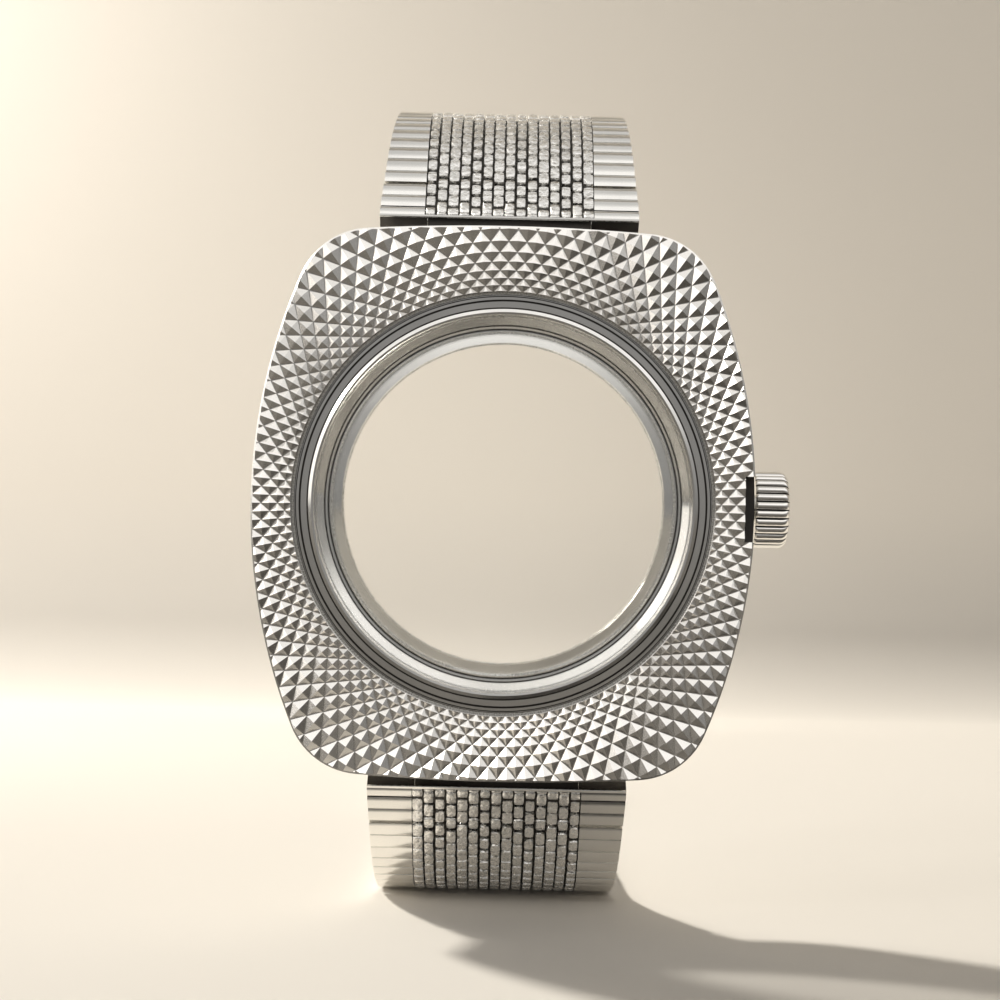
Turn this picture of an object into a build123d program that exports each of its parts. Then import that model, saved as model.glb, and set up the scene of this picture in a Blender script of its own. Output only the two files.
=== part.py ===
from build123d import *
from math import acos, cos, pi, radians, sin, tan
import os

# Frame: X to the crown, Y to the back, Z to twelve o'clock, all in millimetres.
# The origin lies on the axis of the movement cavity, level with the crown's stem.
# Sizes that can be set on their own come first, grouped by the piece they belong to.

# Case outline, seen from the front
case_width = 38.5
case_height = 42.4
side_arc_r = 44.6
end_arc_r = 156.0
corner_r = 5.8
outline_flats = 112

# Levels along Y, from the engraved front to the back
engraving_floor_y = -3.95
bezel_back_y = -3.1
middle_back_y = 3.0

# Engraved bezel: straight V grooves of both hands, tangent to one circle
bezel_hole_r = 16.16
grooves_per_hand = 91
first_groove_row = 20
tip_height_share = 0.30
crown_notch_half = 2.55
crown_notch_depth = 0.9

# Case middle
middle_inset = 0.12
middle_narrowing = 0.95
dial_ledge = 2.05
dial_flange = 0.6
cavity_r = 14.6
ring_seat_depth = 0.9

# Crystal and the two rings around it; turned rings have flats, so that they mesh lightly
ring_sides = 56
ring_fit = 0.12
ring_proud = 0.15
ring_width = 1.64
ring_band = 0.7
ring_chamfer = 0.3
crystal_thick = 1.2
crystal_sink = 0.2
flange_ring_lip = 1.1
flange_ring_height = 0.9

# Display back
back_thick = 1.3
back_land = 2.2
back_bevel = 0.5
back_rim = 2.6
back_glass_ledge = 1.1
back_glass_thick = 0.9
back_gasket_inset = 0.8
back_gasket_width = 1.2
back_gasket_thick = 0.35
back_gap = 0.05

# Winding crown, its tube and its stem
crown_r = 2.95
crown_standoff = 0.2
crown_length = 2.75
crown_edge = 0.55
crown_flutes = 26
flute_depth = 0.26
crown_pocket_gap = 0.25
tube_r = 1.15
tube_out = 2.1
stem_r = 0.6
stem_clearance = 0.05
stem_inset = 0.4
crown_bore_gap = 0.45
crown_bore_depth = 1.6

# Bracelet, shared by both halves
strap_width = 20.0
strap_end_width = 16.0
bead_field = 13.1
row_pitch = 1.40
row_crown = 0.95
bead_crown = 0.80
row_valley = 0.62
strap_inner = 0.85
rows_in_end_link = 2
rows_per_link = 8
joint_gap = 0.14
joint_relief = 7.0
tongue_width = 5.6
tongue_half = 0.52
tongue_side_gap = 0.12
pin_r = 0.25
pin_inset = 0.5
rod_sides = 8
pin_hold = 1.4
pin_clearance = 0.04

# Bracelet hinge at the case
bar_out = 0.85
bar_y = -1.0
bar_r = 0.45
bar_clearance = 0.05
barrel_r = 0.85
end_bar_out = 1.10
first_row = 0.30
case_lug_width = 12.6
case_lug_r = 0.70
lug_side_gap = 0.15
bar_end = 9.6

# The way each half of the bracelet bends as it stands
upper_start = 40.0
upper_straight_rows = 3
upper_turn = 5.0
upper_final = 110.0
upper_links = 3
lower_start = 36.0
lower_straight_rows = 2
lower_turn = 5.5
lower_final = 90.0
lower_links = 5

# Folding clasp
clasp_length = 36.0
clasp_wall = 1.0
clasp_depth = 3.4
clasp_side_gap = 0.3
blade_thick = 1.1
blade_length = 30.0
blade_gap = 0.15
blade_pin_r = 0.35
blade_pin_wall = 0.25
clasp_block = 2.4
hook_slot_width = 8.0
hook_link_length = 4.2

# One overrun serves every cut that runs out of a piece
overrun = 1.0

# Sizes worked out from the ones above
half_width = case_width / 2
half_height = case_height / 2
ring_outer_r = bezel_hole_r - ring_fit
crystal_r = ring_outer_r - ring_width
dial_opening_r = crystal_r - dial_ledge
ring_back_y = bezel_back_y + ring_seat_depth
ring_front_y = engraving_floor_y - ring_proud
crystal_front_y = ring_front_y + crystal_sink
crystal_back_y = crystal_front_y + crystal_thick
dial_seat_y = ring_back_y + flange_ring_height
dial_flange_y = dial_seat_y + dial_flange
groove_turn = pi / grooves_per_hand
groove_circle_r = bezel_hole_r * cos(first_groove_row * groove_turn)
slat_width = (strap_width - bead_field) / 2
back_front_y = middle_back_y + back_gap + back_gasket_thick
back_end_y = back_front_y + back_thick
back_r = cavity_r + back_land
back_glass_r = back_r - back_rim
back_gasket_r = back_r - back_gasket_inset
crown_notch_x = half_width - crown_notch_depth
crown_start_x = half_width + crown_standoff
bar_z = half_height + bar_out
nose_share = tan(pi / rod_sides)


def case_outline(grow=0.0):
    """Cushion outline: four shallow arcs with rounded corners."""
    side_r = side_arc_r + grow
    end_r = end_arc_r + grow
    side_x = side_arc_r - half_width
    end_z = end_arc_r - half_height
    shape = Pos(side_x, 0) * Circle(side_r) & Pos(-side_x, 0) * Circle(side_r)
    shape = shape & Pos(0, end_z) * Circle(end_r) & Pos(0, -end_z) * Circle(end_r)
    return fillet(shape.vertices(), corner_r + grow)


def flat_outline(grow=0.0):
    """The cushion outline in short flats."""
    edge = case_outline(grow).wire()
    corners = [edge.position_at(k / outline_flats) for k in range(outline_flats)]
    return make_face(Polyline(*[(corner.X, corner.Y) for corner in corners], close=True))


def slab(sketch, front_y, back_y):
    """Extrude a front view between two levels."""
    return extrude(Plane.XZ.offset(-back_y) * sketch, back_y - front_y)


def flat_face(*points):
    """A plane facet through its corners."""
    return Face(Wire.make_polygon(points, close=True))


def disc(radius):
    """Front view of a turned disc, in flats."""
    return RegularPolygon(radius, ring_sides)


def ring_from(points):
    """Turn a section of (radius, level) points about the case's axis, in flats."""
    turn = 2 * pi / ring_sides

    def corner(point, step):
        radius, level = point
        return (radius * sin(step * turn), level, radius * cos(step * turn))

    faces = []
    for start, end in zip(points, points[1:] + points[:1]):
        for step in range(ring_sides):
            faces.append(flat_face(
                corner(start, step), corner(end, step), corner(end, step + 1), corner(start, step + 1)))
    return Solid(Shell(faces))


def turned_on_x(points):
    """Turn a section of (x, radius) points about the crown's axis."""
    return revolve(make_face(Polyline(*points, close=True)), Axis.X)


def box_between(x, y, z):
    """A block between pairs of limits on the three axes."""
    middle = Pos((x[0] + x[1]) / 2, (y[0] + y[1]) / 2, (z[0] + z[1]) / 2)
    return middle * Box(x[1] - x[0], y[1] - y[0], z[1] - z[0])


# Engraved bezel

def groove_point(row, step, y):
    """A crossing of the two hands of grooves, or a point midway between crossings."""
    radius = groove_circle_r / cos(row * groove_turn)
    angle = step * groove_turn
    return (radius * sin(angle), y, radius * cos(angle))


def tip_of(row, step):
    """The point of a pyramid, higher where the grooves lie further apart."""
    pitch = 2 * groove_circle_r / cos(row * groove_turn) * sin(groove_turn)
    return groove_point(row, step, engraving_floor_y - tip_height_share * pitch)


def pyramid_faces(row, step):
    """Facets of one pyramid between two grooves of each hand; the first row keeps its outer half."""
    tip = tip_of(row, step)
    left = groove_point(row, step - 1, engraving_floor_y)
    right = groove_point(row, step + 1, engraving_floor_y)
    outer = groove_point(row + 1, step, engraving_floor_y)
    faces = [flat_face(right, outer, tip), flat_face(outer, left, tip)]
    if row > first_groove_row:
        inner = groove_point(row - 1, step, engraving_floor_y)
        faces += [flat_face(left, inner, tip), flat_face(inner, right, tip)]
    return faces


def wall_faces(front, back):
    """Upright facets between a closed line of points and the same line at the back."""
    return [flat_face(front[k - 1], front[k], back[k], back[k - 1]) for k in range(len(front))]


def engraved_field():
    """A plate with the crystal's hole, its front covered in pyramids, larger than the bezel."""
    corner_reach = (half_width ** 2 + half_height ** 2) ** 0.5 - corner_r / 2
    last = int(acos(groove_circle_r / corner_reach) / groove_turn) + 2
    steps = range(2 * grooves_per_hand)
    faces = []
    for row in range(first_groove_row, last):
        for groove in range(grooves_per_hand):
            faces += pyramid_faces(row, 2 * groove + (row + 1) % 2)
    hole_front = [
        groove_point(first_groove_row, step, engraving_floor_y)
        if (first_groove_row + step) % 2 == 0 else tip_of(first_groove_row, step) for step in steps]
    hole_back = [groove_point(first_groove_row, step, bezel_back_y) for step in steps]
    rim = [last if (last + step) % 2 == 0 else last - 1 for step in steps]
    rim_front = [groove_point(row, step, engraving_floor_y) for step, row in enumerate(rim)]
    rim_back = [groove_point(row, step, bezel_back_y) for step, row in enumerate(rim)]
    faces += wall_faces(hole_front, hole_back) + wall_faces(rim_front, rim_back)
    faces.append(Face(Wire.make_polygon(rim_back, close=True), [Wire.make_polygon(hole_back, close=True)]))
    return Solid(Shell(faces))


def bezel_plate():
    """The engraved field cut to the case outline, with a notch at the crown."""
    front = engraving_floor_y - corner_r
    back = bezel_back_y + overrun
    notch = box_between((crown_notch_x, half_width + overrun), (front, back), (-crown_notch_half, crown_notch_half))
    return engraved_field() & (slab(flat_outline(), front, back) - notch)


# Case middle and what is fixed in it

def round_bar(radius, length):
    """A round bar across the strap."""
    return extrude(Plane.YZ * Circle(radius), length / 2, both=True)


def flat_rod(radius, length):
    """A bar across the strap with few sides, for what is small and repeated."""
    return extrude(Plane.YZ * RegularPolygon(radius, rod_sides), length / 2, both=True)


def flat_bore(radius, length):
    """A bore across the strap whose flats touch a round of the given radius."""
    return flat_rod(radius / cos(pi / rod_sides), length)


def bar_bore():
    """The way of the spring bar at the upper hinge."""
    return Pos(0, bar_y, bar_z) * flat_bore(bar_r + bar_clearance, strap_width + overrun)


def case_lug():
    """Tongue at the middle's edge that the spring bar passes through."""
    reach = half_height - middle_inset - barrel_r - bar_z
    nose = case_lug_r * nose_share
    side = Pos(bar_y, bar_z) * make_face(Polyline(
        (-case_lug_r, reach), (-case_lug_r, nose), (-nose, case_lug_r), (nose, case_lug_r), (case_lug_r, nose),
        (case_lug_r, reach), close=True))
    return extrude(Plane.YZ * side, case_lug_width / 2, both=True) - bar_bore()


def case_middle():
    """Tapered body with the crystal ring's seat, the dial's flange and the movement cavity."""
    front = Plane.XZ.offset(-bezel_back_y) * flat_outline(-middle_inset)
    back = Plane.XZ.offset(-middle_back_y) * flat_outline(-middle_inset - middle_narrowing)
    body = loft([front, back], ruled=True)
    bore = slab(disc(ring_outer_r), bezel_back_y - overrun, ring_back_y)
    bore += slab(disc(crystal_r), bezel_back_y, dial_seat_y)
    bore += slab(disc(dial_opening_r), bezel_back_y, middle_back_y)
    bore += slab(Circle(cavity_r), dial_flange_y, middle_back_y + overrun)
    pocket_r = crown_r + crown_pocket_gap
    pocket = turned_on_x([
        (crown_notch_x, 0), (crown_notch_x, pocket_r), (half_width + overrun, pocket_r),
        (half_width + overrun, 0)])
    wall_x = (cavity_r ** 2 - tube_r ** 2) ** 0.5
    tube_hole = turned_on_x([(wall_x, 0), (wall_x, tube_r), (half_width, tube_r), (half_width, 0)])
    lug = case_lug()
    return body + lug + mirror(lug, Plane.XY) - bore - pocket - tube_hole


def crystal_ring():
    """Ring that holds the crystal: an outer step, a brushed band and a polished chamfer."""
    band_r = crystal_r + ring_chamfer + ring_band
    return ring_from([
        (crystal_r, crystal_front_y), (crystal_r + ring_chamfer, ring_front_y), (band_r, ring_front_y),
        (ring_outer_r, engraving_floor_y + ring_chamfer), (ring_outer_r, ring_back_y),
        (crystal_r, ring_back_y)])


def crystal():
    """Flat glass held in the crystal ring."""
    return slab(disc(crystal_r), crystal_front_y, crystal_back_y)


def flange_ring():
    """Sloping ring between the crystal and the dial's flange."""
    return ring_from([
        (crystal_r, ring_back_y), (crystal_r, dial_seat_y), (crystal_r - flange_ring_lip, dial_seat_y),
        (crystal_r - ring_chamfer, ring_back_y)])


def spring_bar():
    """Plain bar at the upper hinge."""
    return Pos(0, bar_y, bar_z) * round_bar(bar_r, 2 * bar_end)


# Display back

def back_ring():
    """Bevelled ring with the seat of the back glass."""
    seat = back_end_y - back_glass_thick
    window_r = back_glass_r - back_glass_ledge
    return ring_from([
        (window_r, back_front_y), (back_r, back_front_y), (back_r - back_bevel, back_end_y),
        (back_glass_r, back_end_y), (back_glass_r, seat), (window_r, seat)])


def back_glass():
    """Flat glass in the back ring's seat."""
    return slab(disc(back_glass_r), back_end_y - back_glass_thick, back_end_y)


def back_gasket():
    """Flat seal between the case middle and the back ring."""
    washer = disc(back_gasket_r) - disc(back_gasket_r - back_gasket_width)
    return slab(washer, back_front_y - back_gasket_thick, back_front_y)


# Crown

def crown_cap():
    """Fluted cap with a smooth rim outside and a bore over the tube."""
    points = []
    for k in range(2 * crown_flutes):
        radius = crown_r if k % 2 else crown_r - flute_depth
        points.append((radius * cos(k * pi / crown_flutes), radius * sin(k * pi / crown_flutes)))
    flutes = make_face(Polyline(*points, close=True))
    end_x = crown_start_x + crown_length
    grip = extrude(Plane.YZ.offset(crown_start_x) * flutes, crown_length - crown_edge)
    rim_r = crown_r - flute_depth
    rim = turned_on_x([
        (crown_start_x, 0), (crown_start_x, tube_r + crown_bore_gap), (end_x - crown_edge, rim_r),
        (end_x, crown_r - crown_edge), (end_x, 0)])
    bore_r = tube_r + crown_bore_gap
    bore = turned_on_x([
        (crown_start_x - overrun, 0), (crown_start_x - overrun, bore_r),
        (crown_start_x + crown_bore_depth, bore_r), (crown_start_x + crown_bore_depth, 0)])
    return grip + rim - bore


def crown_tube():
    """Tube pressed into the case's side."""
    outer_x = crown_notch_x + tube_out
    bore_r = stem_r + stem_clearance
    return turned_on_x([(cavity_r, bore_r), (cavity_r, tube_r), (outer_x, tube_r), (outer_x, bore_r)])


def crown_stem():
    """The crown's post, which ends inside the tube because the movement is out."""
    outer_x = crown_start_x + crown_bore_depth
    inner_x = cavity_r + stem_inset
    return Pos((inner_x + outer_x) / 2, 0, 0) * flat_rod(stem_r, outer_x - inner_x)


def crown_gasket():
    """Seal inside the crown, round the tube."""
    inner_r = tube_r + bar_clearance
    outer_r = tube_r + crown_bore_gap - bar_clearance
    start = crown_start_x + bar_clearance
    return turned_on_x([(start, inner_r), (start, outer_r), (start + outer_r - inner_r, outer_r)])


# Bracelet

def strap_rows(start, straight_rows, turn, final, count):
    """Middle line of one half as row ends (depth, height) with each row's lean, leaving the case upward."""
    depth, height = bar_y, bar_z
    lean = radians(start)
    depth += first_row * sin(lean)
    height += first_row * cos(lean)
    line = []
    for row in range(count):
        lean = radians(min(start + turn * max(0, row - straight_rows), final))
        line.append((depth, height, lean))
        depth += row_pitch * sin(lean)
        height += row_pitch * cos(lean)
    line.append((depth, height, lean))
    return line


def off_line(station, lean, along, out):
    """A point beside a row's end: along the row and out from the middle line."""
    depth, height, _ = station
    return (depth + along * sin(lean) - out * cos(lean), height + along * cos(lean) + out * sin(lean))


def mean_lean(line, k):
    """Lean at a row's end, half way between the rows on its two sides."""
    return (line[max(k - 1, 0)][2] + line[k][2]) / 2


def rows_outline(line, first, last, crest, lead, tail):
    """Side view of a run of rows: a ridge on each row outside, a plain inner side."""
    relief = tan(radians(joint_relief))

    def end_shift(k, out):
        """How far the outline stands back from a row's end, more away from the middle line."""
        if k == first and lead:
            return lead + out * relief
        if k == last and tail:
            return -tail - out * relief
        return 0.0

    outer = []
    for k in range(first, last + 1):
        outer.append(off_line(line[k], mean_lean(line, k), end_shift(k, row_valley), row_valley))
        if k < last:
            outer.append(off_line(line[k], line[k][2], row_pitch / 2, crest))
    inner = [
        off_line(line[k], mean_lean(line, k), end_shift(k, strap_inner), -strap_inner)
        for k in range(last, first - 1, -1)]
    last_middle = [off_line(line[last], mean_lean(line, last), -tail, 0)] if tail else []
    first_middle = [off_line(line[first], mean_lean(line, first), lead, 0)] if lead else []
    return outer + last_middle + inner + first_middle


def across(points, width, centre=0.0):
    """Extrude a side view (depth, height) across the strap."""
    face = Plane.YZ * make_face(Polyline(*points, close=True))
    return Pos(centre, 0, 0) * extrude(face, width / 2, both=True)


def row_block(line, first, last, lead, tail):
    """Rows of one link: the field that carries the beads between higher slats on both sides."""
    block = across(rows_outline(line, first, last, bead_crown, lead, tail), bead_field)
    slats = rows_outline(line, first, last, row_crown, lead, tail)
    for side in (-1, 1):
        block += across(slats, slat_width, side * (bead_field + slat_width) / 2)
    return block


def width_at(row, rows):
    """Strap width at a row's end, narrowing evenly to the clasp."""
    return strap_width + (strap_end_width - strap_width) * row / rows


def trim_sides(block, line, first, last, rows):
    """Cut both sides of a link so that the strap narrows evenly."""
    start, end = line[first], line[last]
    run = ((end[0] - start[0]) ** 2 + (end[1] - start[1]) ** 2) ** 0.5
    along = Vector(0, (end[0] - start[0]) / run, (end[1] - start[1]) / run)
    loss = (width_at(first, rows) - width_at(last, rows)) / 2
    for side in (1, -1):
        origin = Vector(side * width_at(first, rows) / 2, start[0], start[1])
        outward = (Vector(side * run, 0, 0) + along * loss).normalized()
        block = split(block, Plane(origin=origin, z_dir=outward), keep=Keep.BOTTOM)
    return block


def at_row_end(line, k, shape):
    """Put a shape drawn at the origin, its Z along the row, on a row's end."""
    depth, height, _ = line[k]
    return Pos(0, depth, height) * Rot(-mean_lean(line, k) * 180 / pi, 0, 0) * shape


def at_pin(line, k, shape):
    """Put a shape on the hinge axis, which lies just inside the nearer link's end."""
    return at_row_end(line, k, Pos(0, 0, -pin_inset) * shape)


def pin_window(half):
    """Square way for a hinge pin through a link."""
    return Box(tongue_width + 2 * pin_hold, 2 * half, 2 * half)


def pocket(line, k):
    """Room in a link's far end for the next link's tongue, and the pin's windows."""
    reach = tongue_half + tongue_side_gap
    room = box_between(
        (-tongue_width / 2 - tongue_side_gap, tongue_width / 2 + tongue_side_gap),
        (-row_crown - overrun, strap_inner + overrun), (-reach, pin_inset + overrun))
    return at_pin(line, k, room + pin_window(pin_r))


def tongue(line, k):
    """Tongue at a link's near end, its nose round about the pin, with the pin's window."""
    root = pin_inset + row_pitch / 2
    side = Circle(tongue_half) + Pos(0, root / 2) * Rectangle(2 * tongue_half, root)
    blade = extrude(Plane.YZ * side, tongue_width / 2, both=True)
    return at_pin(line, k, blade - pin_window(pin_r + pin_clearance))


def link_pin(line, k):
    """Pin of the hinge at a row's end."""
    return at_pin(line, k, flat_rod(pin_r, tongue_width + 2 * pin_hold))


def link(line, first, rows):
    """One bracelet link of several rows, with a tongue before it and a pocket at its end."""
    last = first + rows_per_link
    block = row_block(line, first, last, joint_gap / 2, joint_gap / 2)
    return trim_sides(block, line, first, last, rows) + tongue(line, first) - pocket(line, last)


def end_link(line, rows):
    """First link: knuckles round the spring bar, a plain bar across the front and the first rows."""
    last = rows_in_end_link
    block = row_block(line, 0, last, 0, joint_gap / 2)
    block = trim_sides(block, line, 0, last, rows)
    lean = line[0][2]
    centre = (bar_y, bar_z, lean)
    nose = barrel_r * nose_share
    barrel = across([
        off_line(line[0], lean, 0, row_valley), off_line(line[0], lean, 0, end_bar_out),
        off_line(centre, lean, -nose, end_bar_out), off_line(centre, lean, -barrel_r, nose),
        off_line(centre, lean, -barrel_r, -nose), off_line(centre, lean, -nose, -barrel_r),
        off_line(line[0], lean, 0, -strap_inner)], strap_width)
    room_half = case_lug_width / 2 + lug_side_gap
    room_r = case_lug_r + lug_side_gap
    room = box_between(
        (-room_half, room_half), (-room_r, strap_inner + overrun), (-barrel_r - overrun, room_r))
    room = Pos(0, bar_y, bar_z) * Rot(-lean * 180 / pi, 0, 0) * room
    return block + barrel - room - bar_bore() - pocket(line, last)


def hook_link(line, rows):
    """Plain last link of the upper half, with the slot that the clasp's hook catches in."""
    lean = line[rows][2]
    near = joint_gap / 2 + strap_inner * tan(radians(joint_relief))
    body = across([
        off_line(line[rows], lean, near, row_valley), off_line(line[rows], lean, hook_link_length, row_valley),
        off_line(line[rows], lean, hook_link_length, -strap_inner),
        off_line(line[rows], lean, near, -strap_inner)], strap_end_width)
    slot = box_between(
        (-hook_slot_width / 2, hook_slot_width / 2), (-row_crown - overrun, strap_inner + overrun),
        (hook_link_length / 2, hook_link_length - strap_inner))
    return body + tongue(line, rows) - at_row_end(line, rows, slot)


# Folding clasp, drawn on the last row's end and lying flat as that row does

def clasp_cover(line, rows):
    """Channel whose plate is outside, with a block at the hinge to the last link."""
    near = joint_gap / 2 + row_crown * tan(radians(joint_relief))
    half = strap_end_width / 2 + clasp_wall
    plate_in = clasp_wall - row_crown
    wall_end = clasp_depth - row_crown
    block = box_between((-half, half), (-row_crown, strap_inner), (near, near + clasp_block))
    plate = box_between((-half, half), (-row_crown, plate_in), (near, clasp_length))
    walls = box_between((-half, half), (-row_crown, wall_end), (near + clasp_block, clasp_length))
    walls -= box_between((clasp_wall - half, half - clasp_wall), (plate_in, wall_end), (0, clasp_length))
    bore = Pos(0, blade_level(), clasp_hinge()) * flat_bore(blade_pin_r, 2 * half)
    return at_row_end(line, rows, block + plate + walls - bore) + tongue(line, rows)


def clasp_hinge():
    """Place of the blade's hinge along the cover."""
    return clasp_length - blade_thick


def blade_level():
    """Level of the blade's middle plane inside the cover."""
    return clasp_wall - row_crown + blade_gap + blade_thick / 2 + blade_pin_wall


def clasp_blade(line, rows):
    """Blade folded into the cover, with an eye round its pin and a hook at its free end."""
    half = strap_end_width / 2 - clasp_side_gap
    level = blade_level()
    eye_r = blade_thick / 2 + blade_pin_wall
    eye = Pos(0, level, clasp_hinge()) * flat_rod(eye_r, 2 * half)
    free_end = clasp_hinge() - blade_length
    leaf = box_between((-half, half), (level - blade_thick / 2, level + blade_thick / 2), (free_end, clasp_hinge()))
    hook_half = hook_slot_width / 2 - clasp_side_gap
    hook = box_between(
        (-hook_half, hook_half), (level, level + blade_thick + strap_inner), (free_end, free_end + blade_thick))
    bore = Pos(0, level, clasp_hinge()) * flat_bore(blade_pin_r + pin_clearance, 2 * half + overrun)
    return at_row_end(line, rows, eye + leaf + hook - bore)


def clasp_pin(line, rows):
    """Pin of the blade's hinge."""
    pin = round_bar(blade_pin_r, strap_end_width + 2 * clasp_wall)
    return at_row_end(line, rows, Pos(0, blade_level(), clasp_hinge()) * pin)


def half_of_bracelet(name, line, links):
    """All the links and pins of one half, drawn leaving the case upward."""
    rows = rows_in_end_link + links * rows_per_link
    pieces = {f"{name}_end_link": end_link(line, rows)}
    for k in range(links):
        first = rows_in_end_link + k * rows_per_link
        pieces[f"{name}_link_{k + 1}"] = link(line, first, rows)
        pieces[f"{name}_pin_{k + 1}"] = link_pin(line, first)
    pieces[f"{name}_pin_{links + 1}"] = link_pin(line, rows)
    return pieces


def upper_half():
    """Upper half with its hook link."""
    rows = rows_in_end_link + upper_links * rows_per_link
    line = strap_rows(upper_start, upper_straight_rows, upper_turn, upper_final, rows)
    pieces = half_of_bracelet("upper", line, upper_links)
    pieces["upper_hook_link"] = hook_link(line, rows)
    return pieces


def lower_half():
    """Lower half with its clasp, turned over to leave the case downward."""
    rows = rows_in_end_link + lower_links * rows_per_link
    line = strap_rows(lower_start, lower_straight_rows, lower_turn, lower_final, rows)
    pieces = half_of_bracelet("lower", line, lower_links)
    pieces["clasp_cover"] = clasp_cover(line, rows)
    pieces["clasp_blade"] = clasp_blade(line, rows)
    pieces["clasp_pin"] = clasp_pin(line, rows)
    return {name: mirror(piece, Plane.XY) for name, piece in pieces.items()}


def case_pieces():
    """Everything that makes the case itself."""
    bar = spring_bar()
    return {
        "bezel_plate": bezel_plate(),
        "case_middle": case_middle(),
        "crystal_ring": crystal_ring(),
        "crystal": crystal(),
        "flange_ring": flange_ring(),
        "upper_spring_bar": bar,
        "lower_spring_bar": mirror(bar, Plane.XY),
        "back_ring": back_ring(),
        "back_glass": back_glass(),
        "back_gasket": back_gasket(),
        "crown": crown_cap(),
        "crown_stem": crown_stem(),
        "crown_gasket": crown_gasket(),
        "crown_tube": crown_tube(),
    }


os.makedirs("parts", exist_ok=True)
for node, shape in {**case_pieces(), **upper_half(), **lower_half()}.items():
    export_step(shape, f"parts/{node}.step")
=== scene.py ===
from math import cos, hypot, pi, radians, sin, tan

import bmesh
import bpy
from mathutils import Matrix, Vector


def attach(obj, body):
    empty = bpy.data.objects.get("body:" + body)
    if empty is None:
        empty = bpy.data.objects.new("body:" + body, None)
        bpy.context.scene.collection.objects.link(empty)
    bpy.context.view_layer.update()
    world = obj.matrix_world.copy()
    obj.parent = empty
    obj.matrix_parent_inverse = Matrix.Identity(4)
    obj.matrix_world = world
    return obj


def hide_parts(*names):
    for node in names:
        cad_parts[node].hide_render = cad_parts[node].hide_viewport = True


# Lengths are in millimetres and become metres where a mesh is made.
MM = 0.001
# Points nearer than the first length are one point; faces nearer than the second are level
same_point = 0.002
same_level = 0.01
# Angles in degrees: flat faces are merged, edges are bevelled and edges stay sharp past them
flat_angle = 1
bevel_angle = 30
CREASE = {"facet": 5, "ring": 20, "glass": 25, "bar": 30, "lane": 35, "crown": 50, "bead": 60}

# Case outline, seen from the front
case_width = 38.5
case_height = 42.4
side_arc_r = 44.6
end_arc_r = 156.0
corner_r = 5.8

# Engraved bezel
engraving_floor_y = -3.95
bezel_back_y = -3.1
bezel_hole_r = 16.16
bezel_edge = 0.12
bezel_rim = 0.15
bezel_rim_rise = 0.03
grooves_per_hand = 91
first_groove_row = 20
last_groove_row = 46
notch_start_x = 18.45
notch_half = 2.5
notch_floor_y = -3.2
tip_height_share = 0.20
groove_flat_share = 0.05
pyramid_sunk = 0.05

# Crown
crown_r = 2.95
crown_start_x = 19.45
crown_length = 2.75
crown_flutes = 26
crown_flute_depth = 0.30
crown_outer_round = 0.6
crown_inner_round = 0.22
crown_dome = 0.15
crown_bore_r = 1.6
crown_bore_depth = 1.6
crown_round_steps = 6
points_per_flute = 12
crown_cap_shares = (0.75, 0.5, 0.25)

# Turned rings: sizes, their section as shares of its width and depth, and which bands of it take painted
# shade, dark between the steps where shade falls
ring_segments = 256
crystal_ring_sizes = {"inner": 14.43, "outer": 16.02, "front": -4.05, "back": -2.22}
crystal_ring_shares = [
    (0, 0.137), (0.006, 0.038), (0.025, 0.016), (0.126, 0), (0.277, 0.060), (0.289, 0.115), (0.327, 0.115),
    (0.352, 0.066), (0.635, 0.066), (0.654, 0.235), (0.717, 0.235), (0.736, 0.148), (0.862, 0.148),
    (0.874, 0.235), (0.899, 0.235), (0.912, 0.180), (0.943, 0.180), (0.950, 0.464), (1, 0.464), (1, 1),
    (0, 1)]
crystal_ring_shaded_bands = (5, 8, 9, 13, 14, 17)
flange_sizes = {"inner": 13.30, "outer": 14.39, "front": -1.90, "back": -1.32}
flange_shares = [
    (1, 0), (1, 1), (0, 1), (0, 0.724), (0.028, 0.672), (0.110, 0.672), (0.128, 0.897), (0.220, 0.897),
    (0.239, 0.638), (0.385, 0.603), (0.404, 0.793), (0.477, 0.793), (0.495, 0.517), (0.532, 0.448),
    (0.972, 0.052)]
flange_shaded_bands = (6, 7, 10, 11)
dial_ledge_sizes = {"inner": 12.38, "outer": 13.27, "front": -1.42, "back": -1.20}
dial_ledge_shares = [(0, 1), (0, 0.636), (0.090, 0), (0.899, 0.545), (1, 0.636), (1, 1)]
back_ring_sizes = {"inner": 13.1, "outer": 16.78, "front": 3.42, "back": 4.7}
back_ring_shares = [(0, 0), (1, 0), (1, 0.258), (0.870, 1), (0.304, 1), (0.304, 0.297), (0, 0.297)]
back_ring_ease = 0.06
seal_sizes = {"inner": 14.82, "outer": 15.98, "front": 3.06, "back": 3.39}
seal_shares = [(0, 0), (1, 0), (1, 1), (0, 1)]
seal_segments = 128
seal_ease = 0.08

# Glasses: radius, front, back and ease of the edges
glass_segments = 192
crystal_size = {"radius": 14.38, "front": -3.9, "back": -2.72, "ease": 0.12}
back_glass_size = {"radius": 14.18, "front": 3.82, "back": 4.7, "ease": 0.10}

# Bracelet, the same for both halves but for the way they bend
strap_width = 20.0
strap_end_width = 16.0
bead_field = 13.1
bead_columns = 15
row_pitch = 1.40
row_crown = 0.95
row_groove = 0.62
row_edge = 0.80
bead_bed = 0.36
strap_inner = 0.85
inner_groove = 0.70
row_steps = 9
slat_gap = 0.02
pillow_power = 0.7
inner_edge_drop = 0.06
rows_in_end_link = 2
rows_per_link = 8
joint_gap = 0.14
joint_relief = 7.0
bead_top = 0.94
joint_bead_gap = 0.15
joint_bead_end = 1.87
joint_bead_height = 0.36
bar_y = -1.0
bar_z = 22.05
first_row = 0.30
end_bar_start = -0.85
end_lip_back = -0.60
end_lip_out = 0.93
end_bed_out = 0.81
end_skin_out = 0.78
end_bar_inner = -0.85
end_lip_undercut = 0.18
end_pillow_edge = 0.84
first_bead_height = 0.26
knuckle_ease = 0.05
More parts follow.
